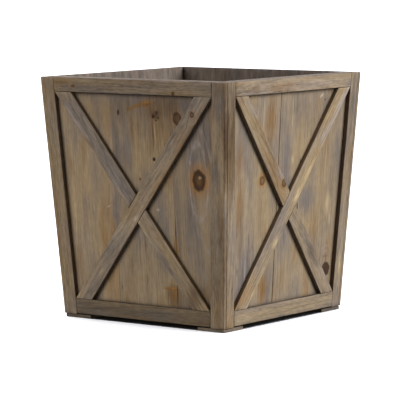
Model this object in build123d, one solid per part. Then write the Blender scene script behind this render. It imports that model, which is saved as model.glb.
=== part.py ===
from build123d import *
import os
from math import atan2, cos, hypot, sin, sqrt

# Square flared planter box. Millimetres, +Z up, origin at the centre of the footprint, on the ground.
# "front" faces -Y, "right" faces +X; left/right within a side are as seen from outside that side.

# ---- driving dimensions ----
top_width = 400.0        # across the outer faces at the rim
base_width = 347.0       # across the outer faces at the bottom of the walls
wall_rise = 414.0        # vertical height of the outer faces
foot_height = 6.0        # thickness of the four foot pads
foot_side = 55.0         # foot pads are square
foot_inset = 2.0         # pad edge back from the wall's outer bottom edge

strip_thick = 7.5        # stiles, rails and braces
board_thick = 12.0       # wall boards behind them
stile_width = 29.0       # corner edge to the stile's inner edge, on every side
top_rail_width = 25.0
bottom_rail_width = 27.0
bottom_rail_lift = 1.5   # the bottom rail stops this far above the stiles' ends
brace_width = 29.0

lap_seams = (-52.0, 75.0)    # board joints on the front and back, measured at the rim
butt_seams = (-28.0, 99.0)   # board joints on the left and right
seam_gap = 0.8

cleat_height = 24.0      # floor bearers round the inside of the base
cleat_width = 24.0
slat_thick = 12.0
slat_count = 4
slat_gap = 8.0           # drainage gaps between the floor slats
slat_clearance = 1.5     # slats to the wall boards

brad_head = 2.8          # brads are flat-sided: head and shank widths, and one thickness
brad_shank = 1.6
brad_thick = 1.4
brad_head_depth = 1.0
brad_set = 0.5           # heads driven this far below the surface
strip_brad_length = 16.0
corner_brad_length = 30.0
slat_brad_length = 25.0
stile_brads = 4          # along each stile
corner_brads = 3         # down each corner, between the heights of the stile brads
brace_brads = 5          # along the full diagonal
half_brace_ends = (0.15, 0.85)  # where the two brads in a half brace stand along it
board_brads = (0.25, 0.75)      # where the two brads in each board stand along a rail

# ---- derived sizes ----
flare = (top_width - base_width) / 2
slope = hypot(wall_rise, flare)          # height of a side measured along its face
lean = atan2(flare, wall_rise)           # each side leans out by this angle
wall_thick = strip_thick + board_thick
spread = flare / wall_rise               # outward run for one unit of rise


def half_width(v):
    """Half the outer width of a side at a distance v up its face."""
    return base_width / 2 + flare * v / slope


def half_at(z, depth=0.0):
    """Half the width between two facing sides at height z, at a depth in from the outer faces."""
    return base_width / 2 + spread * (z - foot_height) - depth / cos(lean)


def face_plane(depth=0.0):
    """Sketch plane in the front side: x to the right, y up the face, normal outward."""
    origin = (0, -base_width / 2 + depth * cos(lean), foot_height + depth * sin(lean))
    return Plane(origin=origin, x_dir=(1, 0, 0), z_dir=(0, -cos(lean), -sin(lean)))


def plate(points, depth, thick):
    """A flat piece of the front side: outline up the face, from a depth inward by its thickness."""
    outline = face_plane(depth) * Polygon(*points, align=None)
    return extrude(outline, amount=thick, dir=(0, cos(lean), sin(lean)))


def keep_between(depth):
    """Everything between the two neighbouring sides, at a depth in from their outer faces."""
    low, high = -wall_rise, 2 * wall_rise
    outline = Polygon((-half_at(low, depth), low), (half_at(low, depth), low),
                      (half_at(high, depth), high), (-half_at(high, depth), high), align=None)
    reach = top_width + base_width
    return extrude(Plane.XZ * outline, amount=reach, both=True)


def solid_of(shape):
    found = shape.solids()
    if len(found) != 1:
        raise ValueError("expected one solid, got %d" % len(found))
    return found[0]


def stiles(trim):
    """The two upright strips, as {name: solid}."""
    outside = [(half_width(0) + wall_thick, 0), (half_width(slope) + wall_thick, slope)]
    inside = [(half_width(slope) - stile_width, slope), (half_width(0) - stile_width, 0)]
    right = outside + inside
    left = [(-u, v) for u, v in reversed(right)]
    return {name: solid_of(plate(points, 0, strip_thick) & trim)
            for name, points in (("stile_left", left), ("stile_right", right))}


def inner_u(v):
    """Half the clear width between the stiles at a distance v up the face."""
    return half_width(v) - stile_width


def rail(low, high):
    """A level strip between the stiles, its ends cut to their slope."""
    points = [(-inner_u(low), low), (inner_u(low), low), (inner_u(high), high), (-inner_u(high), high)]
    return solid_of(plate(points, 0, strip_thick))


def field():
    """Heights up the face of the bottom rail's upper edge and the top rail's lower edge."""
    return bottom_rail_lift + bottom_rail_width, slope - top_rail_width


def brace_foot():
    """Length of a brace's end cut along the rail, so that its width across the grain is brace_width."""
    low, high = field()
    run, rise = inner_u(low) + inner_u(high), high - low
    a = rise ** 2 - brace_width ** 2
    b = 2 * brace_width ** 2 * run
    c = -brace_width ** 2 * (run ** 2 + rise ** 2)
    return (-b + sqrt(b * b - 4 * a * c)) / (2 * a)


def braces():
    """One full diagonal rising to the right, and the crossing diagonal in two halves butted to it."""
    low, high = field()
    cut = brace_foot()
    full = [(-inner_u(low), low), (-inner_u(low) + cut, low), (inner_u(high), high), (inner_u(high) - cut, high)]
    cross = [(inner_u(low), low), (-inner_u(high) + cut, high), (-inner_u(high), high), (inner_u(low) - cut, low)]
    long = solid_of(plate(full, 0, strip_thick))
    halves = (plate(cross, 0, strip_thick) - long).solids()
    if len(halves) != 2:
        raise ValueError("the crossing brace should be in two halves")
    lower, upper = sorted(halves, key=lambda s: s.center().Z)
    return {"brace_long": long, "brace_upper": upper, "brace_lower": lower}


def boards(seams, trim):
    """Wall boards behind the strips, left to right."""
    reach = half_width(slope) + wall_thick
    edges = [-reach] + [u for s in seams for u in (s - seam_gap / 2, s + seam_gap / 2)] + [reach]
    made = {}
    for number, (u0, u1) in enumerate(zip(edges[0::2], edges[1::2]), 1):
        points = [(u0, 0), (u1, 0), (u1, slope), (u0, slope)]
        made["board_%d" % number] = solid_of(plate(points, strip_thick, board_thick) & trim)
    return made


def brad(at, length):
    """A brad driven in along -Z of the location, and the pocket it leaves, up to the surface."""
    head = Pos(0, 0, -brad_set - brad_head_depth / 2) * Box(brad_head, brad_thick, brad_head_depth)
    shank = Pos(0, 0, -brad_set - length / 2) * Box(brad_shank, brad_thick, length)
    mouth = Pos(0, 0, -brad_set / 2) * Box(brad_head, brad_thick, brad_set)
    driven = solid_of(head + shank)
    return at * driven, at * solid_of(driven + mouth)


def face_brads(places, length, depth=0.0):
    """Brads square to the front side at each (u, v), driven from a depth in from the outer face."""
    return [brad(face_plane(depth).location * Pos(u, v, 0), length) for u, v in places]


def stile_places(from_corner):
    """Brad places up both stiles, at a distance in from the corner edge."""
    places = []
    for i in range(stile_brads):
        v = slope * (i + 0.5) / stile_brads
        places += [(half_width(v) - from_corner, v), (from_corner - half_width(v), v)]
    return places


def rail_places(seams):
    """Two brad places for each board on each rail."""
    low, high = field()
    places = []
    for v in ((bottom_rail_lift + low) / 2, (high + slope) / 2):
        edges = [-inner_u(v), *seams, inner_u(v)]
        places += [(u0 + part * (u1 - u0), v) for u0, u1 in zip(edges, edges[1:]) for part in board_brads]
    return places


def brace_places():
    """Brad places along the middle of the full diagonal and of the two halves of the other."""
    low, high = field()
    start, end = brace_foot() / 2 - inner_u(low), inner_u(high) - brace_foot() / 2
    places = [(start + (end - start) * part, low + (high - low) * part)
              for part in ((i + 0.5) / brace_brads for i in range(brace_brads))]
    middle = -start / (end - start)      # the diagonals cross on the centre line of the side
    for first, last in ((0, middle), (middle, 1)):
        for part in half_brace_ends:
            t = first + (last - first) * part
            places.append((-(start + (end - start) * t), low + (high - low) * t))
    return places


def corner_places():
    """Brads through a lapping side's end boards into the edges of the boards between."""
    reach = strip_thick + board_thick / 2
    places = []
    for i in range(corner_brads):
        v = slope * (i + 1) / (corner_brads + 1)
        places += [(half_width(v) - reach, v), (reach - half_width(v), v)]
    return places


def side(lapping):
    """One whole side in the front position. A lapping side covers the edges of its neighbours' strips."""
    strip_trim = keep_between(0 if lapping else strip_thick)
    board_trim = keep_between(strip_thick if lapping else wall_thick)
    seams = lap_seams if lapping else butt_seams
    made = stiles(strip_trim)
    low, high = field()
    made["rail_top"] = rail(high, slope)
    made["rail_bottom"] = rail(bottom_rail_lift, low)
    made.update(braces())
    made.update(boards(seams, board_trim))
    from_corner = stile_width / 2 if lapping else (stile_width + wall_thick) / 2
    places = stile_places(from_corner) + rail_places(seams) + brace_places()
    return made, face_brads(places, strip_brad_length)


def cleat_inner():
    """Distance from the centre to a cleat's upright inner face."""
    return half_at(foot_height, wall_thick) - cleat_width


def cleat(lapping):
    """A floor bearer along the bottom of the front wall, its back planed to the wall's lean."""
    z0, z1 = foot_height, foot_height + cleat_height
    section = Polygon((-half_at(z0, wall_thick), z0), (-cleat_inner(), z0),
                      (-cleat_inner(), z1), (-half_at(z1, wall_thick), z1), align=None)
    if lapping:
        return solid_of(extrude(Plane.YZ * section, amount=top_width, both=True) & keep_between(wall_thick))
    return solid_of(extrude(Plane.YZ * section, amount=cleat_inner(), both=True))


def slats():
    """Floor slats, front to back, lying across from the left cleat to the right one, and their brads."""
    z0 = foot_height + cleat_height
    half = half_at(z0, wall_thick) - slat_clearance
    width = (2 * half - (slat_count - 1) * slat_gap) / slat_count
    over_cleat = cleat_inner() + cleat_width / 2
    made, brads = {}, []
    for i in range(slat_count):
        y = -half + width / 2 + i * (width + slat_gap)
        made["floor_slat_%d" % (i + 1)] = solid_of(
            Pos(0, y, z0 + slat_thick / 2) * Box(2 * half, width, slat_thick))
        for x in (-over_cleat, over_cleat):
            brads += [brad(Pos(x, y + away * width / 4, z0 + slat_thick), slat_brad_length)
                      for away in (-1, 1)]
    return made, brads


def feet():
    """The foot pads, and two brads up through each: one into each cleat that meets over it."""
    at = base_width / 2 - foot_inset - foot_side / 2
    over_cleat = cleat_inner() + cleat_width / 2
    by_corner = (at - foot_side / 2 + cleat_inner()) / 2     # where the pad meets the shorter cleat
    made, brads = {}, []
    for name, sx, sy in (("front_left", -1, -1), ("front_right", 1, -1), ("back_left", -1, 1),
                         ("back_right", 1, 1)):
        made["foot_" + name] = solid_of(
            Pos(sx * at, sy * at, foot_height / 2) * Box(foot_side, foot_side, foot_height))
        brads += [brad(Pos(sx * x, sy * y, 0) * Rot(180, 0, 0), strip_brad_length)
                  for x, y in ((by_corner, over_cleat), (over_cleat, by_corner))]
    return made, brads


def boxes_meet(a, b):
    return all(getattr(a.min, k) < getattr(b.max, k) and getattr(b.min, k) < getattr(a.max, k)
               for k in ("X", "Y", "Z"))


def bored(shape, pockets):
    """The shape less the pockets that reach into it."""
    box = shape.bounding_box()
    near = [pocket for pocket, pocket_box in pockets if boxes_meet(box, pocket_box)]
    return shape - near if near else shape


def build():
    parts, strip_set, corner_set = {}, [], []
    for name, turn, lapping in (("front", 0, True), ("right", 90, False), ("back", 180, True),
                                ("left", 270, False)):
        place = Rot(0, 0, turn)
        pieces, brads = side(lapping)
        parts.update({name + "_" + piece: place * shape for piece, shape in pieces.items()})
        parts["cleat_" + name] = place * cleat(lapping)
        strip_set += [(place * driven, place * pocket) for driven, pocket in brads]
        if lapping:
            corner_set += [(place * driven, place * pocket) for driven, pocket in
                           face_brads(corner_places(), corner_brad_length, strip_thick)]
    floor, slat_set = slats()
    pads, foot_set = feet()
    parts.update(floor)
    parts.update(pads)
    groups = {"brads_strips": strip_set, "brads_corners": corner_set, "brads_slats": slat_set,
              "brads_feet": foot_set}
    pockets = [(pocket, pocket.bounding_box()) for group in groups.values() for _, pocket in group]
    parts = {node: solid_of(bored(shape, pockets)) for node, shape in parts.items()}
    for node, group in groups.items():
        parts[node] = Compound([driven for driven, _ in group])
    return parts




parts = build()
os.makedirs("parts", exist_ok=True)
for node, shape in parts.items():
    shape.label = node
    export_step(shape, "parts/%s.step" % node)
print(len(parts), "nodes")
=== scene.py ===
"""Looks for the flared planter box: weathered fir boards and strips, steel brads and a plain studio.

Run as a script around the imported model. Everything is in metres, in the model's own frame: +Z up, the
front side towards -Y and the right side towards +X.
"""
import math
from collections import namedtuple

import bpy
import bmesh
import numpy as np
from mathutils import Matrix, Vector


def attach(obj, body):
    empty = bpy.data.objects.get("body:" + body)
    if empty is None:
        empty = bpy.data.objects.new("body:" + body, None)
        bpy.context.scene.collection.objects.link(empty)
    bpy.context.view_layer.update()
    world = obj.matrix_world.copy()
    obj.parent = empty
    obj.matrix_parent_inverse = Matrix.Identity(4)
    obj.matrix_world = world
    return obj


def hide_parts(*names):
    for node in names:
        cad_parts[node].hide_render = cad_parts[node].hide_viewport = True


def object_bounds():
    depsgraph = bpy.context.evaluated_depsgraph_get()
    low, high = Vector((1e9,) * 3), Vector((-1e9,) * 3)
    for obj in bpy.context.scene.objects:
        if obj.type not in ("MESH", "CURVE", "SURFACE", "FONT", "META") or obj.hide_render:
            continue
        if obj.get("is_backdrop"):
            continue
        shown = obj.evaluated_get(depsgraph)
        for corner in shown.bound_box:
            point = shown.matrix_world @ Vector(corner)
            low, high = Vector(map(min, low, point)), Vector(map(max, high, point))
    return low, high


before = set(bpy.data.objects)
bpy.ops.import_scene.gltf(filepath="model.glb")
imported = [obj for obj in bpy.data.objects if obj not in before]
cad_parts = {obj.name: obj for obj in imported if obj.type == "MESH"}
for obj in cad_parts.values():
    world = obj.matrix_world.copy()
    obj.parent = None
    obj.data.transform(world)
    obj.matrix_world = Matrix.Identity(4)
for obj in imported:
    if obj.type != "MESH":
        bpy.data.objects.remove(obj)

bl_info = {
    "name": "Flared Planter Box",
    "version": (1, 0, 0),
    "blender": (4, 5, 0),
    "location": "View3D > Sidebar > Planter",
    "description": "Weathered fir looks for the flared planter box",
    "category": "Add Mesh",
}

CAD_LOW, CAD_HIGH = (Vector(corner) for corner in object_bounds())
SIDES = ("front", "right", "back", "left")
STRIPS = ("stile_left", "stile_right", "rail_top", "rail_bottom", "brace_long", "brace_upper",
          "brace_lower")
# Seams that have stayed open: the side, and the number of the board before the seam.
OPEN_SEAMS = (("right", 1), ("left", 1))
# How light or dark a piece is against the others. The front boards grow darker towards the front corner:
# painted shade where the light falls off. The front's bottom rail and the feet are darker too.
TONES_AND_PAINTED_FALLOFF = {
    "front_board_1": 1.2, "front_board_2": 1.1, "front_board_3": 0.98,
    "right_board_1": 1.04, "right_board_2": 1.04,
    "front_rail_top": 0.84, "front_rail_bottom": 0.56, "front_stile_left": 0.96, "front_stile_right": 0.92,
    "front_brace_long": 1.05, "right_rail_top": 1.12, "right_brace_long": 1.1,
    "foot_front_left": 0.62, "foot_front_right": 0.9, "foot_back_right": 0.75, "foot_back_left": 0.7,
}
# The same for the inner faces of a side's boards. The back side's inner faces are much darker: painted
# shade, where the front wall keeps the light off them.
INSIDE_TONES_AND_SHADE = {"front": 0.9, "right": 0.9, "back": 0.58, "left": 0.87}
MM = 0.001
FACET = math.radians(22.5)  # angle between the facets of an arris
# Half widths in mm: under the first a knot is a dark spot that the grain runs past, and under the second
# it has no dark rim.
SMALL_KNOT, BIG_KNOT = 4, 6

# Marks in the wood, placed on a side as seen from outside: across from the centre line and up from the
# ground, in mm, with half the width and half the height. A turn in degrees tips a mark towards a brace's
# own grain. Later marks lie over earlier ones.
Knot = namedtuple("Knot", "across up width height depth halo turn", defaults=(0,))
Stain = namedtuple("Stain", "across up width height colour strength turn", defaults=(0,))
Arch = namedtuple("Arch", "across up width height strength turn", defaults=(0,))

BOARD_MARKS = {
    "front": (
        # The first two marks darken the boards along the top, just under the top rail: painted shade.
        Stain(0, 385, 180, 62, "umber", 0.42), Stain(0, 394, 180, 20, "slate", 0.5),
        Stain(60, 345, 60, 64, "umber", 0.35), Stain(76, 378, 50, 26, "umber", 0.5),
        Stain(104, 372, 16, 34, "slate", 0.6), Stain(5, 80, 70, 70, "tan", 0.6),
        Stain(110, 55, 34, 34, "umber", 0.5), Stain(72, 50, 26, 34, "umber", 0.5),
        Stain(-128, 345, 26, 60, "slate", 0.45), Stain(-52, 190, 10, 40, "slate", 0.85),
        Stain(-90, 250, 16, 40, "slate", 0.3), Stain(148, 322, 24, 56, "slate", 0.75),
        Stain(110, 310, 16, 40, "slate", 0.3), Stain(155, 160, 12, 90, "slate", 0.4),
        Stain(-143, 200, 5, 70, "amber", 0.45), Stain(-128, 130, 4, 80, "amber", 0.25),
        Stain(-112, 130, 4, 70, "amber", 0.2), Stain(2, 374.5, 17, 4.2, "resin", 0.95, 20),
        Stain(24, 379.5, 18, 8, "resin", 1, 10), Stain(27, 382, 12, 3.5, "copper", 0.35, 10),
        Stain(27, 378, 11, 3.5, "knot", 0.35, 10), Stain(-12, 369, 7, 4.5, "resin", 0.9),
        Stain(-8, 340, 4.5, 30, "resin", 0.6), Stain(7, 345, 3, 24, "resin", 0.5),
        Stain(33, 376, 2.2, 22, "umber", 0.7), Stain(44, 361, 13, 11, "umber", 0.8),
        Stain(45, 361, 9, 9, "knot", 0.5), Stain(37, 323, 1.7, 30, "knot", 0.6),
        Stain(45, 334, 1.7, 16, "resin", 0.7), Stain(41, 330, 1.8, 26, "amber", 0.4),
        Stain(62, 54, 12, 22, "umber", 0.6), Stain(66, 56, 11, 18, "resin", 0.8),
        Stain(59, 66, 19, 4, "resin", 1), Stain(61, 67, 16, 2.2, "copper", 0.6),
        Stain(72, 52, 3.4, 24, "knot", 0.75), Stain(75.5, 158, 1.8, 44, "knot", 0.9),
        Stain(75, 128, 8, 34, "resin", 0.85), Stain(76, 118, 4, 16, "copper", 0.5),
        Stain(84, 165, 5, 50, "umber", 0.35), Stain(9, 137, 2.5, 18, "resin", 0.6),
        Stain(9, 70, 2.5, 18, "resin", 0.35), Stain(-67, 200, 5, 2, "bleached", 0.55, 25),
        Stain(40, 200, 4, 3, "bleached", 0.6), Arch(129, 252, 19, 64, 0.85),
        Arch(137, 240, 27, 107, 0.5, 6), Knot(130, 254, 13.5, 17, 0.95, 1),
        Stain(132, 259, 3.4, 3.6, "amber", 0.9), Stain(113, 284, 2.2, 6, "bleached", 0.6),
        Knot(90, 356, 9.5, 11, 0.8, 0.25), Knot(39, 358.5, 3.4, 3.6, 1, 0),
        Knot(46.5, 365, 2.4, 3.2, 0.9, 0), Knot(50, 356, 2.4, 2.2, 0.8, 0),
        Knot(45, 352, 2.8, 1.6, 0.7, 0), Knot(-36, 363, 2.8, 5.2, 0.9, 0),
        Knot(37, 286, 3.2, 3.4, 1, 0), Knot(5, 250.5, 2.4, 2.4, 0.7, 0.3),
    ),
    "right": (
        Stain(-56, 345, 17, 52, "resin", 0.8), Stain(-141, 282, 8, 44, "resin", 0.65),
        Stain(-135, 215, 9, 50, "resin", 0.6), Stain(-116, 190, 7, 80, "amber", 0.25),
        Stain(-128, 140, 7, 60, "umber", 0.4), Stain(-58, 60, 16, 34, "resin", 1),
        Stain(-93, 352, 14, 40, "slate", 0.5), Stain(-76, 365, 3, 34, "bleached", 0.35),
        Stain(-105, 95, 28, 44, "slate", 0.75), Stain(-111, 100, 2.4, 36, "ash", 0.6),
        Stain(-96, 92, 2.4, 30, "ash", 0.55), Stain(-84, 110, 2, 30, "ash", 0.5),
        Stain(-93, 352, 3, 34, "ash", 0.5), Stain(50, 300, 30, 60, "tan", 0.4),
        Stain(112, 200, 40, 90, "tan", 0.55), Stain(-5, 290, 17, 52, "slate", 0.8),
        Stain(58, 205, 32, 32, "slate", 0.8), Stain(27, 180, 10, 34, "slate", 0.6),
        Stain(88, 155, 15, 42, "resin", 0.45), Stain(60, 350, 60, 50, "umber", 0.16),
        Stain(126, 190, 9, 25, "amber", 0.85), Stain(134, 167, 5, 15, "amber", 0.7),
        Stain(114, 250, 2.6, 44, "amber", 0.45), Stain(8.5, 356, 1.6, 36, "bleached", 0.55),
        Stain(14, 277, 4, 11, "amber", 0.6), Stain(93, 384, 8, 3.2, "bleached", 0.8, 30),
        Stain(-3, 76, 9, 34, "resin", 0.4), Stain(-28, 345, 1.6, 56, "rim", 0.85),
        Stain(-28, 75, 1.6, 46, "rim", 0.85), Arch(128, 78, 22, 40, 0.4), Arch(128, 84, 15, 24, 0.35),
        Stain(127, 99, 8, 3, "knot", 0.35), Knot(-73, 248, 7.4, 8, 0.6, 0.95),
        Knot(130, 75, 12, 12.5, 0.95, 0), Stain(130, 74, 13, 15, "rim", 0.55),
        Knot(38.5, 269, 1.8, 9, 0.95, 0), Knot(34.5, 195, 1.6, 7, 0.8, 0),
        Knot(103, 376, 2.2, 2.2, 0.7, 0),
    ),
    "back": (
        # The fourth mark darkens the boards along the top, under the top rail, like the painted shade on
        # the front.
        Stain(-40, 250, 7, 60, "resin", 0.6), Stain(96, 220, 18, 60, "slate", 0.6),
        Stain(20, 90, 16, 26, "resin", 0.6), Stain(0, 385, 180, 40, "umber", 0.3),
        Stain(-120, 300, 8, 50, "amber", 0.4), Arch(-98, 150, 20, 48, 0.5),
        Knot(-98, 150, 10, 13, 0.85, 0.8), Knot(58, 300, 7, 9, 0.75, 0.5),
        Knot(112, 96, 3.4, 4.4, 0.9, 0),
    ),
    "left": (
        Stain(30, 210, 8, 70, "resin", 0.55), Stain(-70, 290, 22, 40, "slate", 0.7),
        Stain(120, 90, 12, 26, "umber", 0.5), Stain(-20, 350, 16, 24, "resin", 0.6),
        Stain(60, 120, 30, 50, "slate", 0.6), Arch(84, 308, 20, 50, 0.6), Knot(84, 310, 10, 14, 0.85, 0.9),
        Knot(-90, 130, 8, 10, 0.75, 0.5), Knot(-4, 120, 3.4, 4.4, 0.9, 0),
    ),
}
STRIP_MARKS = {
    "front": (
        Stain(-130, 403, 50, 9, "slate", 0.6), Stain(-20, 402, 90, 5, "resin", 0.25),
        Stain(0, 20, 170, 14, "slate", 0.5), Stain(-43, 151, 12, 34, "bleached", 0.2, -39),
        Stain(-43, 243, 11, 30, "ash", 0.35, 39), Stain(27, 151, 10, 34, "bleached", 0.3, 39),
        Stain(194, 320, 8, 120, "umber", 1), Stain(197, 340, 8, 80, "knot", 0.5),
        Stain(184, 100, 9, 90, "resin", 0.35), Stain(-180, 110, 9, 60, "resin", 0.3),
        Stain(-128, 352, 14, 50, "slate", 0.7, 39), Stain(-100, 306, 10, 22, "umber", 0.4, 39),
        Stain(176, 120, 7, 170, "umber", 0.45), Stain(181, 150, 4, 110, "resin", 0.5),
        Stain(155, 40, 9, 80, "tan", 0.8), Stain(166, 40, 9, 80, "resin", 0.5),
        Stain(172, 70, 10, 90, "tan", 0.35), Stain(183, 388, 18, 56, "slate", 0.75),
        Stain(-4, 184, 9, 5, "bleached", 0.55, 39), Stain(100, 80, 6, 70, "slate", 0.5, 39),
        Stain(112, 54, 18, 30, "umber", 0.7, 39), Stain(-128, 350, 7, 44, "ash", 0.45, 39),
        Stain(20, 160, 5, 30, "tan", 0.5, 39), Knot(127, 365, 4.6, 5.4, 0.95, 0.45),
        Knot(-127, 405.5, 4.6, 2.6, 0.85, 0.3), Knot(89, 399, 3.6, 3.2, 0.85, 0.4),
    ),
    "right": (
        Stain(48, 250, 6.5, 46, "amber", 0.4, -39), Stain(58, 262, 2.6, 26, "amber", 0.6, -39),
        Stain(21, 215, 6.5, 15, "amber", 1, -39), Stain(79, 108, 12, 36, "umber", 0.45, 39),
        Stain(-30, 256, 9, 26, "ash", 0.5, 39), Stain(-117, 374, 9, 24, "ash", 0.5, 39),
        Stain(60, 405, 120, 14, "ash", 0.4), Stain(0, 20, 170, 14, "tan", 0.6),
        Stain(-187.5, 335, 2.2, 52, "rim", 0.9), Stain(-175, 325, 30, 135, "umber", 0.8),
        Stain(-37, 139, 7, 14, "amber", 0.75, -39), Stain(-47, 110, 4, 26, "amber", 0.65, -39),
        Stain(-20, 160, 9, 26, "slate", 0.4, -39), Stain(-110, 62, 12, 38, "resin", 0.4, -39),
        Stain(138, 350, 13, 50, "slate", 0.4, -39), Stain(142, 362, 12, 54, "ash", 0.9, -39),
        Stain(100, 318, 9, 34, "ash", 0.7, -39), Stain(-90, 345, 3, 70, "amber", 0.4, 39),
        Stain(-52, 290, 6, 40, "slate", 0.4, 39), Stain(-122, 406, 36, 8, "resin", 0.35),
        Stain(-134, 407, 12, 4, "amber", 0.5), Stain(60, 407, 60, 4, "slate", 0.3),
        Stain(163, 80, 4.5, 25, "amber", 0.9), Stain(-162, 306, 4, 18, "amber", 0.5),
        Knot(-19, 240.5, 6.4, 7.4, 0.65, 0.7),
    ),
    "back": (
        Stain(-30, 160, 6, 24, "amber", 0.6, -39), Stain(120, 405, 40, 6, "resin", 0.3),
        Knot(-60, 132, 5, 5, 0.7, 0.5), Knot(70, 405, 5, 3.6, 0.7, 0.4),
    ),
    "left": (
        Stain(60, 280, 6, 30, "amber", 0.6, -39), Stain(-150, 200, 8, 60, "resin", 0.3),
        Knot(96, 330, 5, 5, 0.7, 0.5),
    ),
}


def linear(colour):
    """The linear RGBA of an sRGB hex colour such as #937f68."""
    parts = [int(colour[i:i + 2], 16) / 255 for i in (1, 3, 5)]
    return tuple(p / 12.92 if p <= 0.04045 else ((p + 0.055) / 1.055) ** 2.4 for p in parts) + (1.0,)


def colour_property(name, description, colour):
    return bpy.props.FloatVectorProperty(name=name, description=description, size=4, subtype="COLOR",
                                         min=0, max=1, default=linear(colour))


def length_property(name, description, millimetres):
    return bpy.props.FloatProperty(name=name, description=description, unit="LENGTH", subtype="DISTANCE",
                                   default=millimetres * MM, precision=5, min=0)


def angle_property(name, description, degrees):
    return bpy.props.FloatProperty(name=name, description=description, subtype="ANGLE",
                                   default=math.radians(degrees))


def light_property(name, brightness):
    return bpy.props.FloatProperty(name=name, description="Brightness of a white card that faces it",
                                   default=brightness, min=0)


class PlanterWood(bpy.types.PropertyGroup):
    """Sizes and colours of the fir boards and strips."""
    arris: length_property("Arris", "Radius that the long edges are worn to", 1.1)
    seam_arris: length_property("Seam arris", "Radius along the boards' edges", 0.6)
    across: length_property("Across", "Mesh spacing across the grain", 1.5)
    along: length_property("Along", "Mesh spacing along the grain", 6.0)
    swell: length_property("Swell", "How far a board stands out into a closed seam", 0.62)
    shrink: length_property("Shrink", "How far a strip's narrow faces have drawn in", 0.2)
    relief: length_property("Relief", "Depth of the weathered grain", 0.22)
    nick: length_property("Nick", "Depth of a knock in an arris", 0.8)
    bow: length_property("Bow", "How far a piece wanders from flat", 0.3)
    ring_spacing: length_property("Ring spacing", "Distance between growth rings", 5.0)
    seed: bpy.props.IntProperty(name="Seed", description="Seed for all that varies in the wood", default=7)
    tan: colour_property("Tan", "Sound fir under the weathering", "#a08b6b")
    silver: colour_property("Silver", "Weathered grey fir", "#938575")
    umber: colour_property("Umber", "Dark late wood and streaks", "#59442f")
    resin: colour_property("Resin", "Orange resin stains and knot halos", "#856338")
    amber: colour_property("Amber", "Pale yellow sapwood showing through", "#c2ad88")
    slate: colour_property("Slate", "Blue-grey weather stain", "#766e6a")
    bleached: colour_property("Bleached", "Pale scuffs", "#c9bba6")
    bare: colour_property("Bare", "Grey where soil or rain has stripped it", "#766c67")
    ash: colour_property("Ash", "Pale ash-grey weathering", "#a59c98")
    copper: colour_property("Copper", "Fresh resin", "#a37640")
    rim: colour_property("Rim", "Dark rim of a knot", "#2c1a0d")
    knot: colour_property("Knot", "Knot heartwood", "#452d19")
    # The colour of the drying checks, and of the painted shade in the inner corners, on the recess walls
    # and in the joints.
    checks_and_painted_shade: colour_property("Grime", "Dirt in the inner corners", "#291f17")


class PlanterBrads(bpy.types.PropertyGroup):
    """The flat-headed brads."""
    head_width: length_property("Head width", "Across the head", 2.6)
    head_thickness: length_property("Head thickness", "The head's and the shank's other width", 1.3)
    head_depth: length_property("Head depth", "How deep the head is", 1.0)
    shank_width: length_property("Shank width", "Across the shank", 1.5)
    lift: length_property("Lift", "How far the heads are raised from the pockets' floors", 0.45)
    seed: bpy.props.IntProperty(name="Seed", description="Seed for the heads' small turns", default=3)
    steel: colour_property("Steel", "Browned steel", "#76664f")
    rust: colour_property("Rust", "Darker blotches on the steel", "#4a3c2d")


class PlanterStage(bpy.types.PropertyGroup):
    """The camera, the lights and the floor."""
    azimuth: angle_property("Azimuth", "Camera's turn from -Y towards +X", 37.2)
    elevation: angle_property("Elevation", "Camera's height as an angle", 5.64)
    roll: angle_property("Roll", "Camera's tilt about its own axis", -0.43)
    distance: length_property("Distance", "From the camera to the planter", 4451)
    lens: bpy.props.FloatProperty(name="Lens", description="Focal length in mm on a 36 mm frame",
                                  default=228.5)
    front_light: light_property("Front light", 0.62)
    right_light: light_property("Right light", 1.15)
    back_light: light_property("Back and left lights", 0.6)
    sky: bpy.props.FloatProperty(name="Sky", description="Strength of the even light from all round",
                                 default=0.1)
    floor: colour_property("Floor", "Pale studio floor", "#f6f8ff")
    # Painted shadow: the near-black that the floor is painted under the planter.
    gap: colour_property("Gap", "Floor under the planter", "#0c0b0a")


# ---- mesh: one plank from a board's or strip's own solid ----

def merged(node):
    """A merged copy of a CAD node's mesh, as a bmesh."""
    bm = bmesh.new()
    bm.from_mesh(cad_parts[node].data)
    bmesh.ops.remove_doubles(bm, verts=bm.verts, dist=1e-6)
    return bm


def outer_corners(node):
    """The eight corners of the block that a wooden node was cut from, without its brad pockets."""
    source = merged(node)
    bm = bmesh.new()
    for vert in source.verts:
        bm.verts.new(vert.co)
    source.free()
    hull = bmesh.ops.convex_hull(bm, input=bm.verts)
    inside = [v for v in hull["geom_interior"] + hull["geom_unused"] if isinstance(v, bmesh.types.BMVert)]
    bmesh.ops.delete(bm, geom=list(set(inside)), context="VERTS")
    bmesh.ops.dissolve_limit(bm, angle_limit=math.radians(0.6), verts=bm.verts, edges=bm.edges)
    corners = [v.co.copy() for v in bm.verts]
    faces = [(f.calc_area(), f.normal.copy(), [v.co.copy() for v in f.verts]) for f in bm.faces]
    bm.free()
    if len(corners) != 8:
        raise ValueError(f"{node} has {len(corners)} corners where a plank has 8")
    return corners, faces


def plank_axes(corners, faces, upright):
    """Unit vectors across the grain, along it, and out of the plank's outer face."""
    middle = sum(corners, Vector()) / len(corners)
    area = max(f[0] for f in faces)
    wide = [f for f in faces if f[0] > 0.95 * area]
    # Out from the planter's middle, and up for a piece that lies flat across it.
    away = Vector((middle.x, middle.y, 20 * MM))
    outward, outline = max(((f[1], f[2]) for f in wide), key=lambda f: f[0].dot(away))
    if upright:
        along = (Vector((0, 0, 1)) - outward * outward.z).normalized()
    else:
        edges = [b - a for a, b in zip(outline, outline[1:] + outline[:1])]
        along = max(edges, key=lambda e: round(e.length, 5)).normalized()
        if along.z < -1e-3 or (abs(along.z) <= 1e-3 and along.x + along.y < 0):
            along.negate()
    return along.cross(outward), along, outward


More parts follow.
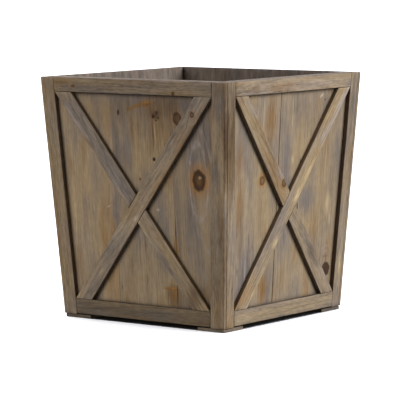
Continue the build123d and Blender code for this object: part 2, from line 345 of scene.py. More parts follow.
def corner_grid(corners, axes):
    """Corners as an array [across][along][depth], each from low to high."""
    across, along, outward = axes
    grid = np.zeros((2, 2, 2, 3))
    by_depth = sorted(corners, key=outward.dot)
    for k, layer in enumerate((by_depth[:4], by_depth[4:])):
        by_side = sorted(layer, key=across.dot)
        for i, edge in enumerate((by_side[:2], by_side[2:])):
            for j, corner in enumerate(sorted(edge, key=along.dot)):
                grid[i, j, k] = corner
    return grid


def ripple(points, lengths, rng, waves=14):
    """A smooth random field between about -1 and 1, with the given wavelengths along each axis."""
    total = np.zeros(len(points))
    for _ in range(waves):
        turns = rng.normal(size=3) / np.asarray(lengths)
        total += np.cos(2 * math.pi * (points @ turns) + rng.uniform(0, 2 * math.pi))
    return total / math.sqrt(waves)


def ticks(size, spacing, radius):
    """Grid lines along one axis, with one more in the middle of each arris."""
    count = max(2, int(round((size - 2 * radius) / spacing)) + 1)
    near = radius * (1 - math.tan(FACET))
    return np.concatenate([[0, near], np.linspace(radius, size - radius, count), [size - near, size]])


def box_surface(counts):
    """Indices of a grid's surface points, and outward quads between them."""
    na, nb, nc = counts
    ids = -np.ones(counts, int)
    shell = np.ones(counts, bool)
    shell[1:-1, 1:-1, 1:-1] = False
    ids[shell] = np.arange(shell.sum())
    quads = []
    for grid, flip in ((ids[:, :, -1], False), (ids[:, :, 0], True), (ids[-1, :, :], False),
                       (ids[0, :, :], True), (ids[:, -1, :].T, False), (ids[:, 0, :].T, True)):
        ring = [grid[:-1, :-1], grid[1:, :-1], grid[1:, 1:], grid[:-1, 1:]]
        quads.append(np.stack([r.ravel() for r in (ring[::-1] if flip else ring)], 1))
    return np.argwhere(shell), np.concatenate(quads)


def worn_block(grid, wood, arris, rng):
    """Points, quads and outward directions of a block between eight corners, with worn edges and a
    weathered surface. Its ends are sharper than its long edges."""
    sizes = np.array([np.linalg.norm(np.diff(grid, axis=a), axis=-1).mean() for a in range(3)])
    radii = min(arris, 0.3 * sizes.min()) * np.array([1, 0.4, 1])
    spacings = (wood.across, wood.along, wood.across)
    lines = [ticks(*given) for given in zip(sizes, spacings, radii)]
    index, quads = box_surface([len(line) for line in lines])
    flat = np.stack([lines[a][index[:, a]] for a in range(3)], 1)
    worn = radii * (1 + 0.35 * ripple(flat, (0.03, 0.035, 0.03), rng).clip(-1.6, 0.0))[:, None]
    core = np.clip(flat, worn, sizes - worn)
    out = (flat - core) / worn
    out /= np.linalg.norm(out, axis=1)[:, None]
    weathered = ripple(flat, (0.004, 0.16, 0.01), rng) * 0.6 + ripple(flat, (0.011, 0.3, 0.02), rng) * 0.4
    nicks = ripple(flat, (0.02, 0.02, 0.02), rng).clip(1.3, None) - 1.3
    on_edge = (np.abs(out) > 0.3).sum(1) > 1
    depth = wood.relief * (0.5 - 0.5 * weathered.clip(-1, 1)) + np.where(on_edge, wood.nick * nicks, 0)
    points = core + out * (worn - depth[:, None])
    bow = 0.5 * (ripple(flat * (1, 1, 0), (0.22, 0.35, 1), rng).clip(-1, 1) - 1)
    points[:, 2] += wood.bow * bow * flat[:, 2] / sizes[2]
    share = points / sizes
    weights = [np.stack([1 - share[:, a], share[:, a]], 1) for a in range(3)]
    placed = np.einsum("pi,pj,pk,ijkx->px", *weights, grid)
    return placed, quads, out


def in_scene(name, data):
    """A new object in the scene, at the origin."""
    made = bpy.data.objects.new(name, data)
    bpy.context.scene.collection.objects.link(made)
    return made


def mesh_object(name, points, quads):
    mesh = bpy.data.meshes.new(name)
    mesh.from_pydata(points.tolist(), [], quads.tolist())
    mesh.shade_smooth()
    return in_scene(name, mesh)


def write_values(mesh, name, values):
    """Stores a number or a vector for each point of a mesh."""
    values = np.asarray(values, np.float32)
    kind, field = ("FLOAT", "value") if values.ndim == 1 else ("FLOAT_VECTOR", "vector")
    mesh.attributes.new(name, kind, "POINT").data.foreach_set(field, values.ravel())


def squarely(share):
    """0 for a direction with under 0.6 of its length along an axis, and 1 from 0.85."""
    return np.clip(4 * share - 2.4, 0, 1)


def plank(node, material, arris, upright=False, swell=((0, 0), (0, 0)), bare_back=False):
    """Replaces a wooden CAD node with a worn, weathered plank of the same size and place.

    Its attributes are grain, the place across and along the grain and in depth, shifted at random so that
    no two pieces share a pattern; place, the place on its side of the planter; tone, its shade, which
    holds painted shade as well as the piece's own lightness; bare, 1 where soil or rain has greyed it;
    edge,
    1 on the narrow faces, where the material paints shade; and worn, 1 along the arrises. Swell is how far
    the low and the high side stand out into the seams beside them, at the back and at the front.
    """
    wood = bpy.context.scene.planter_wood
    rng = np.random.default_rng([wood.seed, *node.encode()])
    corners, faces = outer_corners(node)
    axes = plank_axes(corners, faces, upright)
    across, along, outward = (np.array(axis) for axis in axes)
    grid = corner_grid(corners, axes)
    grid += np.array([-1, 1]).reshape(2, 1, 1, 1) * np.reshape(swell, (2, 1, 2, 1)) * across
    grid[:, 0] += along * wood.shrink * rng.uniform(0.3, 1.5)
    grid[:, 1] -= along * wood.shrink * rng.uniform(0.3, 1.5)
    points, quads, out = worn_block(grid, wood, arris, rng)
    piece = mesh_object(node + "_wood", points, quads)
    centre = grid.reshape(-1, 3).mean(0)
    shift = np.array([rng.uniform(-0.05, 0.05), rng.uniform(-40, 40), rng.uniform(0.025, 0.07)])
    local = np.stack([(points - centre) @ axis for axis in (across, along, outward)], 1)
    level = np.cross((0, 0, 1), outward)
    level = level / (np.linalg.norm(level) or 1)
    directions = out @ np.stack([across, along, outward])
    up = directions[:, 2]
    # The narrow faces at the planter's corners face out into the light, so they take only a tenth of the
    # painted shade on the other narrow faces.
    sideways = directions @ level
    at_corner = (np.abs(sideways) > 0.9) & (sideways * (points @ level) > 0)
    back = -out[:, 2] if bare_back else up
    write_values(piece.data, "grain", local + shift)
    write_values(piece.data, "place", np.stack([points @ level, points[:, 2], points[:, 2] * 0], 1))
    tone = TONES_AND_PAINTED_FALLOFF.get(node, 1.0) * rng.uniform(0.97, 1.03) * (1 - 0.3 * squarely(up))
    if bare_back:
        tone = np.where(out[:, 2] < -0.6, INSIDE_TONES_AND_SHADE[node.split("_")[0]], tone)
    write_values(piece.data, "tone", tone)
    write_values(piece.data, "bare", squarely(np.maximum(up, back)))
    write_values(piece.data, "edge", np.where(at_corner, 0.1, 1.0) * squarely(np.abs(out[:, 0])))
    write_values(piece.data, "worn", np.clip((1 - np.abs(out).max(1)) / 0.25, 0, 1))
    piece.data.materials.append(material)
    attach(piece, "root")
    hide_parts(node)
    return piece


# ---- materials ----

def add(tree, kind, inputs=(), **settings):
    """Adds a node with its settings. A shader node's kind leaves out ShaderNode. The inputs, by name or
    number or in order, each get a value, an output or a node's first live output."""
    made = tree.nodes.new(kind if "Node" in kind else "ShaderNode" + kind)
    for name, value in settings.items():
        setattr(made, name, value)
    for key, value in inputs.items() if isinstance(inputs, dict) else enumerate(inputs):
        if isinstance(value, bpy.types.Node):
            value = next(output for output in value.outputs if output.enabled)
        if isinstance(value, bpy.types.NodeSocket):
            tree.links.new(value, made.inputs[key])
        else:
            made.inputs[key].default_value = value
    return made


def new_material(name):
    """A material with an empty node tree, and the tree."""
    material = bpy.data.materials.new(name)
    material.use_nodes = True
    material.node_tree.nodes.clear()
    return material, material.node_tree


def mark_group():
    """Node group for a mark: how far out a point is, 1 at its rim, and how the grain bends round it."""
    name = "Planter mark"
    if name in bpy.data.node_groups:
        return bpy.data.node_groups[name]
    tree = bpy.data.node_groups.new(name, "ShaderNodeTree")
    for label, kind in (("Place", "Vector"), ("Centre", "Vector"), ("Half size", "Vector"),
                        ("Turn", "Float"), ("Wander", "Float")):
        tree.interface.new_socket(label, in_out="INPUT", socket_type="NodeSocket" + kind)
    for label in ("Distance", "Bend"):
        tree.interface.new_socket(label, in_out="OUTPUT", socket_type="NodeSocketFloat")
    given = add(tree, "NodeGroupInput").outputs
    offset = add(tree, "VectorMath", (given["Place"], given["Centre"]), operation="SUBTRACT")
    turned = add(tree, "VectorRotate", {"Vector": offset, "Angle": given["Turn"]}, rotation_type="Z_AXIS")
    scaled = add(tree, "VectorMath", (turned, given["Half size"]), operation="DIVIDE")
    distance = add(tree, "VectorMath", (scaled,), operation="LENGTH")
    wandered = add(tree, "Math", (distance, given["Wander"]), operation="ADD")
    # The grain flows round over 1.7 times the mark's width and 3.4 times its height.
    spread = add(tree, "VectorMath", (scaled, (1 / 1.7, 1 / 3.4, 0)), operation="MULTIPLY")
    square = add(tree, "VectorMath", (spread, spread), operation="DOT_PRODUCT")
    falling = add(tree, "Math", (square, -1.0), operation="MULTIPLY")
    near = add(tree, "Math", (falling,), operation="EXPONENT")
    across = add(tree, "SeparateXYZ", (offset,))
    pull = add(tree, "Math", (across, near), operation="MULTIPLY")
    bend = add(tree, "Math", (pull, -0.85), operation="MULTIPLY")
    add(tree, "NodeGroupOutput", {"Distance": wandered, "Bend": bend})
    return tree


def drawn_out(tree, grain, across, along, depth=20.0, detail=3.0, roughness=0.5):
    """Noise drawn out along the grain, in patches of about the given sizes in mm."""
    stretched = add(tree, "VectorMath", (grain, (1000 / across, 1000 / along, 1000 / depth)),
                    operation="MULTIPLY")
    return add(tree, "TexNoise", {"Vector": stretched, "Scale": 1.0, "Detail": detail,
                                  "Roughness": roughness})


def laid_marks(tree, colour, marks, place, streaky, lumpy):
    """Lays stains, arches and knots over a colour, and returns it with the sum of the knots' bends."""
    wood = bpy.context.scene.planter_wood
    bend = 0.0
    for mark in marks:
        wander = streaky if isinstance(mark, Stain) and mark.height > mark.width else lumpy
        inputs = {"Place": place, "Centre": (mark.across * MM, mark.up * MM, 0),
                  "Half size": (mark.width * MM, mark.height * MM, 1), "Turn": -math.radians(mark.turn),
                  "Wander": 0.0 if isinstance(mark, Arch) else wander}
        made = add(tree, "Group", inputs, node_tree=mark_group())
        distance = made.outputs["Distance"]
        if isinstance(mark, Stain):
            share = add(tree, "MapRange", (distance, 1.25, 0.1, 0.0, mark.strength),
                        interpolation_type="SMOOTHSTEP")
            layers = [(share, getattr(wood, mark.colour))]
        elif isinstance(mark, Arch):
            # A thin pale line of early wood at the rim, broken where the noise is low.
            from_rim = add(tree, "Math", (distance, 1.0), operation="SUBTRACT")
            thin = add(tree, "Math", (from_rim,), operation="ABSOLUTE")
            line = add(tree, "MapRange", (thin, 2.6 / mark.width, 0.0, 0.0, mark.strength))
            broken = add(tree, "MapRange", (lumpy, -0.06, 0.06, 0.3, 1.0))
            layers = [(add(tree, "Math", (line, broken), operation="MULTIPLY"), wood.ash)]
        else:
            layers = knot_layers(tree, mark, distance, lumpy)
            if mark.width > SMALL_KNOT:
                bend = add(tree, "Math", (bend, made.outputs["Bend"]), operation="ADD")
        for share, over in layers:
            colour = add(tree, "Mix", {0: share, 6: colour, 7: over}, data_type="RGBA")
    return colour, bend


def knot_layers(tree, mark, distance, lumpy):
    """The shares and colours of a knot, from the bottom up: an uneven resin halo, brown heart wood and a
    near-black rim, and on a big one a paler core."""
    wood = bpy.context.scene.planter_wood
    layers = []
    if mark.halo:
        uneven = add(tree, "MapRange", (lumpy, -0.1, 0.1, 0.35, 1.0))
        halo = add(tree, "MapRange", (distance, 2.3, 1.0, 0.0, mark.halo), interpolation_type="SMOOTHSTEP")
        layers.append((add(tree, "Math", (halo, uneven), operation="MULTIPLY"), wood.copper))
    heart = add(tree, "MapRange", (distance, 1.15, 0.75, 0.0, mark.depth))
    layers.append((heart, wood.knot if mark.halo or mark.width > BIG_KNOT else wood.rim))
    if mark.width < SMALL_KNOT:
        return layers
    if mark.width < BIG_KNOT:
        core = add(tree, "MapRange", (distance, 0.62, 0.3, 0.0, mark.halo * 0.8))
        return layers + [(core, wood.tan)]
    from_rim = add(tree, "Math", (distance, 0.85), operation="SUBTRACT")
    thin = add(tree, "Math", (from_rim,), operation="ABSOLUTE")
    rim = add(tree, "MapRange", (thin, 0.28, 0.08, 0.0, mark.depth * 0.75))
    core = add(tree, "MapRange", (distance, 0.5, 0.2, 0.0, mark.halo * 0.35))
    return layers + [(rim, wood.rim), (core, wood.resin)]


def weathered_fir(name, marks=(), pale=0.5, streaks=1.0, sawn=0.7):
    """Fir board, sawn and left out in the weather: dry and matt, tan where sound and silver-grey where the
    surface has gone, with long soft streaks, late wood a little darker and proud, orange resin and dark
    knots that the grain flows round, and painted shade in the inner corners, on the narrow faces and in the
    grooves between worn arrises."""
    wood = bpy.context.scene.planter_wood
    material, tree = new_material(name)
    own = {label: add(tree, "Attribute", attribute_name=label).outputs for label in ("grain", "place",
                                                                                     "tone", "bare",
                                                                                     "edge", "worn")}
    grain, place = (own[label]["Vector"] for label in ("grain", "place"))
    tone, bare, edge, worn = (own[label]["Fac"] for label in ("tone", "bare", "edge", "worn"))

    # Weather patches, and warm and cool streaks between them.
    patches = drawn_out(tree, grain, 75, 240, 75, detail=4.0, roughness=0.6)
    weather = add(tree, "MapRange", (patches, 0.36, 0.64, pale - 0.5, pale + 0.5))
    cool = drawn_out(tree, grain, 36, 150, 36, detail=2.0)
    cool_share = add(tree, "MapRange", (cool, 0.5, 0.7, 0.0, 0.8))
    warm_share = add(tree, "MapRange", (cool, 0.47, 0.3, 0.0, 0.55))
    colour = wood.tan
    for share, over in ((weather, wood.silver), (cool_share, wood.slate), (warm_share, wood.resin)):
        colour = add(tree, "Mix", {0: share, 6: colour, 7: over}, data_type="RGBA")

    # Edges of the marks: streaky on stains, lumpy on knots.
    ragged = drawn_out(tree, grain, 2.6, 55, 8, roughness=0.7)
    streaky = add(tree, "MapRange", (ragged, 0.25, 0.75, -0.55, 0.55))
    lumps = drawn_out(tree, grain, 8, 13, 8, roughness=0.55)
    lumpy = add(tree, "MapRange", (lumps, 0.25, 0.75, -0.17, 0.17))
    colour, bend = laid_marks(tree, colour, marks, place, streaky, lumpy)
    # Painted shade: the narrow faces, which form the walls of the recesses, are mixed towards umber by the
    # sawn share.
    narrow_face_shade = add(tree, "Math", (edge, sawn), operation="MULTIPLY")
    greyed = add(tree, "Math", (bare, 0.8), operation="MULTIPLY")
    for share, over in ((narrow_face_shade, wood.umber), (greyed, wood.bare)):
        colour = add(tree, "Mix", {0: share, 6: colour, 7: over}, data_type="RGBA")
    flowing = grain
    if bend:
        across = add(tree, "CombineXYZ", (bend,))
        flowing = add(tree, "VectorMath", (grain, across), operation="ADD")

    # Growth rings about a pith behind the board run out along it as long arches.
    drift = drawn_out(tree, grain, 110, 420, 110, detail=2.0)
    drifted = add(tree, "VectorMath", (drift.outputs["Color"], (0.5, 0.5, 0.5)), operation="SUBTRACT")
    pith = add(tree, "VectorMath", (drifted, (0.05, 0.0, 0.05), flowing), operation="MULTIPLY_ADD")
    flat = add(tree, "VectorMath", (pith, (1, 0, 1)), operation="MULTIPLY")
    radius = add(tree, "VectorMath", (flat,), operation="LENGTH")
    turns = add(tree, "Math", (radius, 2 * math.pi / wood.ring_spacing), operation="MULTIPLY")
    wave = add(tree, "Math", (turns,), operation="SINE")
    late = add(tree, "MapRange", (wave, 0.0, 1.0, 0.0, 1.0), interpolation_type="SMOOTHSTEP")

    # Shade: streaks 12 mm and 3.4 mm wide, fibres 1.6 mm wide and blotches. Real fibres are finer, but
    # that is as fine as shows from where the planter is seen whole.
    shade = 1.0
    for pattern, depth in ((drawn_out(tree, flowing, 12, 200, 20), 0.55),
                           (drawn_out(tree, flowing, 3.4, 55, 9, detail=4.0, roughness=0.65), 0.7),
                           (drawn_out(tree, flowing, 1.6, 13, 3), 0.9),
                           (drawn_out(tree, flowing, 10, 16, 9), 0.4)):
        centred = add(tree, "Math", (pattern, 0.5), operation="SUBTRACT")
        shade = add(tree, "Math", (centred, depth * streaks, shade), operation="MULTIPLY_ADD")
    shade = add(tree, "Math", (late, -0.13 * streaks, shade), operation="MULTIPLY_ADD")
    shade = add(tree, "Math", (worn, 0.12, shade), operation="MULTIPLY_ADD")
    # Bare wood is blotched with damp.
    blotches = drawn_out(tree, grain, 9, 40, 9)
    damp = add(tree, "MapRange", (blotches, 0.3, 0.7, -0.3, 0.3))
    shade = add(tree, "Math", (damp, bare, shade), operation="MULTIPLY_ADD")
    shade = add(tree, "Math", (shade, tone), operation="MULTIPLY")
    colour = add(tree, "VectorMath", {0: colour, 3: shade}, operation="SCALE")

    # Drying checks: hairlines along the grain where the weather has opened it.
    cracks = drawn_out(tree, flowing, 8, 290, 20, detail=2.0)
    from_middle = add(tree, "Math", (cracks, 0.5), operation="SUBTRACT")
    closeness = add(tree, "Math", (from_middle,), operation="ABSOLUTE")
    hairline = add(tree, "MapRange", (closeness, 0.012, 0.003, 0.0, 1.0))
    open_here = add(tree, "MapRange", (patches, 0.52, 0.62, 0.0, 0.5))
    check = add(tree, "Math", (hairline, open_here), operation="MULTIPLY")

    # Painted shade: the wood is darkened where the ambient occlusion finds other wood close by. This
    # happens on the boards in the inner corners, a little on the narrow faces, and most where a worn arris
    # meets a board.
    near = add(tree, "AmbientOcclusion", {"Distance": 14 * MM}, samples=6).outputs["AO"]
    corner = add(tree, "MapRange", (near, 0.76, 0.45, 0.0, 0.7))
    narrow_face_occlusion = add(tree, "MapRange", (near, 0.97, 0.8, 0.0, 0.08))
    groove_occlusion = add(tree, "MapRange", (near, 0.8, 0.6, 0.0, 0.85))
    groove_shade = add(tree, "Math", (groove_occlusion, worn), operation="MULTIPLY")
    recess_shade = add(tree, "Mix", {0: edge, 2: corner, 3: narrow_face_occlusion})
    painted_shade = add(tree, "Math", (groove_shade, recess_shade), operation="MAXIMUM")
    # The drying checks and the painted shade both take the same dark colour.
    for share in (check, painted_shade):
        colour = add(tree, "Mix", {0: share, 6: colour, 7: wood.checks_and_painted_shade}, data_type="RGBA")

    fibres = drawn_out(tree, flowing, 0.8, 38, 1.4, detail=2.0)
    raised = add(tree, "Math", (late, 0.5, fibres), operation="MULTIPLY_ADD")
    opened = add(tree, "Math", (check, -2.0, raised), operation="MULTIPLY_ADD")
    bump = add(tree, "Bump", {"Height": opened, "Strength": 0.6, "Distance": 0.4 * MM})
    rough = add(tree, "MapRange", (fibres, 0.3, 0.7, 0.74, 0.94))
    shader = add(tree, "BsdfPrincipled", {"Base Color": colour, "Roughness": rough, "IOR": 1.5,
                                          "Specular IOR Level": 0.25, "Normal": bump})
    add(tree, "OutputMaterial", {"Surface": shader})
    return material


def browned_steel(name):
    """Steel brad wire gone brown: dull, darker in blotches about 1 mm across."""
    material, tree = new_material(name)
    spot = add(tree, "TexCoord").outputs["Object"]
    blotches = add(tree, "TexNoise", {"Vector": spot, "Scale": 900.0, "Detail": 3.0})
    share = add(tree, "MapRange", (blotches, 0.35, 0.65, 0.0, 0.7))
    brads = bpy.context.scene.planter_brads
    colour = add(tree, "Mix", {0: share, 6: brads.steel, 7: brads.rust}, data_type="RGBA")
    rough = add(tree, "MapRange", (blotches, 0.35, 0.65, 0.45, 0.8))
    bump = add(tree, "Bump", {"Height": blotches, "Strength": 0.3, "Distance": 0.1 * MM})
    shader = add(tree, "BsdfPrincipled", {"Base Color": colour, "Metallic": 0.3, "Roughness": rough,
                                          "Normal": bump})
    add(tree, "OutputMaterial", {"Surface": shader})
    return material


# ---- brads ----

def islands(bm):
    """Each separate shell of a bmesh, as an array of its points."""
    left = set(bm.verts)
    while left:
        queue, found = [left.pop()], []
        while queue:
            vert = queue.pop()
            found.append(vert)
            for edge in vert.link_edges:
                other = edge.other_vert(vert)
                if other in left:
                    left.remove(other)
                    queue.append(other)
        yield np.array([v.co for v in found])


def brad_places(node):
    """Head centre, outward direction, the head's wide direction and the length of each brad in a node."""
    bm = merged(node)
    found = []
    for points in islands(bm):
        middle = (points.min(0) + points.max(0)) / 2
        _, _, directions = np.linalg.svd(points - points.mean(0))
        axis = directions[0]
        spans = (points - middle) @ axis
        tip, other = points[spans > spans.max() - 1e-5], points[spans < spans.min() + 1e-5]
        if np.ptp(tip, axis=0).sum() < np.ptp(other, axis=0).sum():
            axis, tip = -axis, other
        wide = max((b - a for a in tip for b in tip), key=lambda d: round(abs(d @ directions[1]), 6))
        wide = directions[1] * np.sign(directions[1] @ wide or 1)
        found.append((tip.mean(0), axis, wide, np.ptp((points - middle) @ axis)))
    bm.free()
    return sorted(found, key=lambda brad: tuple(np.round(brad[0], 5)))


def brad_tree(material):
    """Geometry nodes that set a brad on each point: head and shank, turned to the point's axis."""
    tree = bpy.data.node_groups.new("Planter brads", "GeometryNodeTree")
    sockets = {"Geometry": "Geometry", "Head width": "Float", "Head thickness": "Float",
               "Head depth": "Float", "Shank width": "Float", "Length": "Float", "Lift": "Float",
               "Seed": "Int"}
    for label, kind in sockets.items():
        tree.interface.new_socket(label, in_out="INPUT", socket_type="NodeSocket" + kind)
    tree.interface.new_socket("Geometry", in_out="OUTPUT", socket_type="NodeSocketGeometry")
    given = add(tree, "NodeGroupInput").outputs
    parts, top = [], 0.0
    for width, depth in ((given["Head width"], given["Head depth"]),
                         (given["Shank width"], given["Length"])):
        size = add(tree, "CombineXYZ", (width, given["Head thickness"], depth))
        block = add(tree, "GeometryNodeMeshCube", {"Size": size})
        middle = add(tree, "Math", (depth, -0.5, top), operation="MULTIPLY_ADD")
        below = add(tree, "CombineXYZ", {2: middle})
        parts.append(add(tree, "GeometryNodeTransform", {"Geometry": block, "Translation": below}))
        top = add(tree, "Math", (depth, -1.0), operation="MULTIPLY")
    brad = add(tree, "GeometryNodeJoinGeometry", {"Geometry": parts[0]})
    tree.links.new(parts[1].outputs[0], brad.inputs[0])
    rounded = add(tree, "GeometryNodeSubdivisionSurface", {"Mesh": brad, "Level": 1, "Edge Crease": 0.85,
                                                           "Vertex Crease": 0.6})
    outward = add(tree, "GeometryNodeInputNamedAttribute", {"Name": "outward"}, data_type="FLOAT_VECTOR")
    wide = add(tree, "GeometryNodeInputNamedAttribute", {"Name": "wide"}, data_type="FLOAT_VECTOR")
    upright = add(tree, "FunctionNodeAlignRotationToVector", {"Vector": outward}, axis="Z")
    turned = add(tree, "FunctionNodeAlignRotationToVector", {"Rotation": upright, "Vector": wide},
                 axis="X", pivot_axis="Z")
    spin = add(tree, "FunctionNodeRandomValue", {2: -0.12, 3: 0.12, "Seed": given["Seed"]},
               data_type="FLOAT")
    spin_turn = add(tree, "FunctionNodeAxisAngleToRotation", {"Axis": (0, 0, 1), "Angle": spin.outputs[1]})
    turn = add(tree, "FunctionNodeRotateRotation", {"Rotation": turned, "Rotate By": spin_turn},
               rotation_space="LOCAL")
    raised = add(tree, "VectorMath", {0: outward, 3: given["Lift"]}, operation="SCALE")
    lifted = add(tree, "GeometryNodeSetPosition", {"Geometry": given["Geometry"], "Offset": raised})
    placed = add(tree, "GeometryNodeInstanceOnPoints", {"Points": lifted, "Instance": rounded,
                                                        "Rotation": turn})
    real = add(tree, "GeometryNodeRealizeInstances", {"Geometry": placed})
    finished = add(tree, "GeometryNodeSetMaterial", {"Geometry": real, "Material": material})
    add(tree, "NodeGroupOutput", {"Geometry": finished})
    return tree


def set_brads(node, tree, settings):
    """Replaces a node of brads with ones set by the geometry nodes."""
    places = brad_places(node)
    points = np.array([p[0] for p in places])
    seeds = mesh_object(node + "_points", points, np.empty((0, 3), int))
    write_values(seeds.data, "outward", [p[1] for p in places])
    write_values(seeds.data, "wide", [p[2] for p in places])
    modifier = seeds.modifiers.new("Brads", "NODES")
    modifier.node_group = tree
    length = float(np.median([p[3] for p in places])) - settings.head_depth
    for item in tree.interface.items_tree:
        if item.in_out == "INPUT" and item.name != "Geometry":
            setting = item.name.lower().replace(" ", "_")
            modifier[item.identifier] = length if setting == "length" else getattr(settings, setting)
    evaluated = seeds.evaluated_get(bpy.context.evaluated_depsgraph_get())
    mesh = bpy.data.meshes.new_from_object(evaluated)
    seeds.modifiers.clear()
    bpy.data.objects.remove(seeds)
    piece = in_scene(node + "_steel", mesh)
    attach(piece, "root")
    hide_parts(node)
    return piece


# ---- operators ----

class PLANTER_OT_boards(bpy.types.Operator):
    """Builds the wall boards"""
    bl_idname = "planter.boards"
    bl_label = "Wall boards"

    def execute(self, context):
        wood = context.scene.planter_wood
        for side in SIDES:
            material = weathered_fir("Weathered fir boards " + side, BOARD_MARKS[side], streaks=0.65)
            for board in (1, 2, 3):
                # A board fills its seams, except the front of one that has stayed open.
                swell = [(wood.swell * (seam not in (0, 3)),
                          wood.swell * (seam not in (0, 3) and (side, seam) not in OPEN_SEAMS))
                         for seam in (board - 1, board)]
                plank(f"{side}_board_{board}", material, wood.seam_arris, upright=True,
                      swell=swell, bare_back=True)
        return {"FINISHED"}


class PLANTER_OT_strips(bpy.types.Operator):
    """Builds the stiles, rails and braces"""
    bl_idname = "planter.strips"
    bl_label = "Stiles, rails and braces"

    def execute(self, context):
        wood = context.scene.planter_wood
        for side in SIDES:
            material = weathered_fir("Weathered fir strips " + side, STRIP_MARKS[side], streaks=1.1)
            for strip in STRIPS:
                plank(f"{side}_{strip}", material, wood.arris,
                      swell=[(-wood.shrink, -wood.shrink)] * 2)
        return {"FINISHED"}


class PLANTER_OT_base(bpy.types.Operator):
    """Builds the floor slats, the cleats under them and the foot pads"""
    bl_idname = "planter.base"
    bl_label = "Floor, cleats and feet"

    def execute(self, context):
        wood = context.scene.planter_wood
        rough = weathered_fir("Sawn fir inside", pale=0.6)
        feet = weathered_fir("Sawn fir feet", pale=1.0, sawn=0.3)
        for node in sorted(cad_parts):
            if node.startswith(("cleat_", "floor_slat_")):
                plank(node, rough, wood.arris)
            elif node.startswith("foot_"):
                plank(node, feet, wood.arris)
        return {"FINISHED"}


class PLANTER_OT_brads(bpy.types.Operator):
    """Sets the brads with geometry nodes"""
    bl_idname = "planter.brads"
    bl_label = "Brads"

    def execute(self, context):
        tree = brad_tree(browned_steel("Browned steel wire"))
        for node in sorted(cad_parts):
            if node.startswith("brads_"):
                set_brads(node, tree, context.scene.planter_brads)
        return {"FINISHED"}


def facing(azimuth, elevation):
    """Direction from the planter at an azimuth from -Y towards +X and an elevation, both in radians."""
    flat = math.cos(elevation)
    return Vector((math.sin(azimuth) * flat, -math.cos(azimuth) * flat, math.sin(elevation)))


def aimed(thing, target, back):
    """Places a light or camera along back from the target, looking at it."""
    thing.location = target + back
    thing.rotation_mode = "QUATERNION"
    thing.rotation_quaternion = back.to_track_quat("Z", "Y")


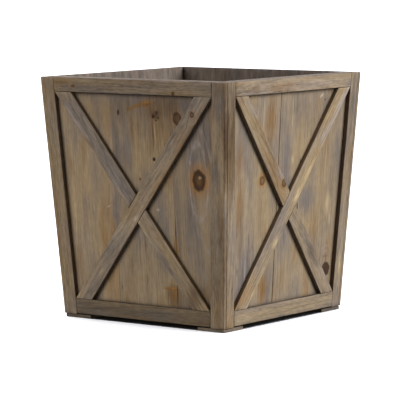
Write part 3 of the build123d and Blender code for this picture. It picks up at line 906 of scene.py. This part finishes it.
class PLANTER_OT_stage(bpy.types.Operator):
    """Builds the camera, four soft lights, the even sky light and the floor"""
    bl_idname = "planter.stage"
    bl_label = "Camera, lights and floor"

    def execute(self, context):
        scene, stage = context.scene, context.scene.planter_stage
        middle = Vector((0, 0, (CAD_LOW.z + CAD_HIGH.z) / 2 + 2 * MM))
        self.camera(scene, stage, middle)
        self.lights(scene, stage, middle)
        self.floor(stage)
        scene.view_settings.view_transform = "Standard"
        return {"FINISHED"}

    def camera(self, scene, stage, middle):
        data = bpy.data.cameras.new("Camera")
        data.lens = stage.lens
        data.sensor_width = 36.0
        # The planter stands a little off the middle of the frame.
        data.shift_x, data.shift_y = -0.0071, -0.0191
        camera = in_scene("Camera", data)
        back = facing(stage.azimuth, stage.elevation)
        aimed(camera, middle, back * stage.distance)
        roll = Matrix.Rotation(stage.roll, 3, "Z").to_quaternion()
        camera.rotation_quaternion = camera.rotation_quaternion @ roll
        scene.camera = camera

    def lights(self, scene, stage, middle):
        """Four large soft lights at the corners, none of which shines along the visible narrow faces."""
        for name, azimuth, elevation, brightness, blue in (
                ("Front light", -26, 28, stage.front_light, 0.9),
                ("Right light", 114, 28, stage.right_light, 0.97),
                ("Back light", 190, 35, stage.back_light, 0.97),
                ("Left light", 262, 35, stage.back_light, 0.97)):
            data = bpy.data.lights.new(name, "SUN")
            data.color = (1.0, 0.5 + 0.5 * blue, blue)
            data.energy = brightness * math.pi
            data.angle = math.radians(42)
            aimed(in_scene(name, data), middle, facing(math.radians(azimuth), math.radians(elevation)) * 3)
        # The studio is white to look at, and gives only a little light itself.
        world = bpy.data.worlds.new("Studio")
        world.use_nodes = True
        tree = world.node_tree
        seen = add(tree, "LightPath").outputs["Is Camera Ray"]
        strength = add(tree, "MapRange", (seen, 0.0, 1.0, stage.sky, 1.0))
        sky = tree.nodes["Background"]
        sky.inputs["Color"].default_value = (1, 1, 1, 1)
        tree.links.new(strength.outputs[0], sky.inputs["Strength"])
        scene.world = world

    def floor(self, stage):
        bm = bmesh.new()
        bmesh.ops.create_circle(bm, cap_ends=True, cap_tris=False, segments=96, radius=40.0)
        mesh = bpy.data.meshes.new("Floor")
        bm.to_mesh(mesh)
        bm.free()
        floor = in_scene("Floor", mesh)
        material, tree = new_material("Pale floor")
        # Painted shadow: where the ambient occlusion finds the planter overhead, the floor is painted
        # near-black, so the space between its feet is dark.
        near = add(tree, "AmbientOcclusion", {"Distance": 150 * MM}, samples=8).outputs["AO"]
        lit = add(tree, "MapRange", (near, 0.32, 0.47, 0.0, 1.0))
        colour = add(tree, "Mix", {0: lit, 6: stage.gap, 7: stage.floor}, data_type="RGBA")
        # Lit from below as well, like a light table, so the planter's soft shadow hardly shows.
        shader = add(tree, "BsdfPrincipled", {"Base Color": colour, "Emission Color": colour,
                                              "Emission Strength": 0.45, "Roughness": 0.9})
        add(tree, "OutputMaterial", {"Surface": shader})
        mesh.materials.append(material)
        # Its own bounce would wash out the recesses, so it takes light and shadow and throws none back.
        floor.visible_diffuse = False
        floor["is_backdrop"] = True


class PLANTER_PT_panel(bpy.types.Panel):
    """Builds the planter's pieces and sets their sizes and colours"""
    bl_idname = "PLANTER_PT_panel"
    bl_label = "Flared Planter Box"
    bl_space_type = "VIEW_3D"
    bl_region_type = "UI"
    bl_category = "Planter"

    def draw(self, context):
        for operator in OPERATORS:
            self.layout.operator(operator.bl_idname)
        for name, group in GROUPS.items():
            box = self.layout.box()
            for key in group.__annotations__:
                box.prop(getattr(context.scene, name), key)


OPERATORS = (PLANTER_OT_boards, PLANTER_OT_strips, PLANTER_OT_base, PLANTER_OT_brads, PLANTER_OT_stage)
GROUPS = {"planter_wood": PlanterWood, "planter_brads": PlanterBrads, "planter_stage": PlanterStage}
CLASSES = (*GROUPS.values(), *OPERATORS, PLANTER_PT_panel)


def register():
    for cls in CLASSES:
        bpy.utils.register_class(cls)
    for name, group in GROUPS.items():
        setattr(bpy.types.Scene, name, bpy.props.PointerProperty(type=group))


def unregister():
    for name in GROUPS:
        delattr(bpy.types.Scene, name)
    for cls in reversed(CLASSES):
        bpy.utils.unregister_class(cls)


def main():
    register()
    bpy.ops.planter.boards()
    bpy.ops.planter.strips()
    bpy.ops.planter.base()
    bpy.ops.planter.brads()
    bpy.ops.planter.stage()
    boxes = {"cad": [list(CAD_LOW), list(CAD_HIGH)], "visual": [list(corner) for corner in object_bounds()]}


if __name__ == "__main__":
    main()
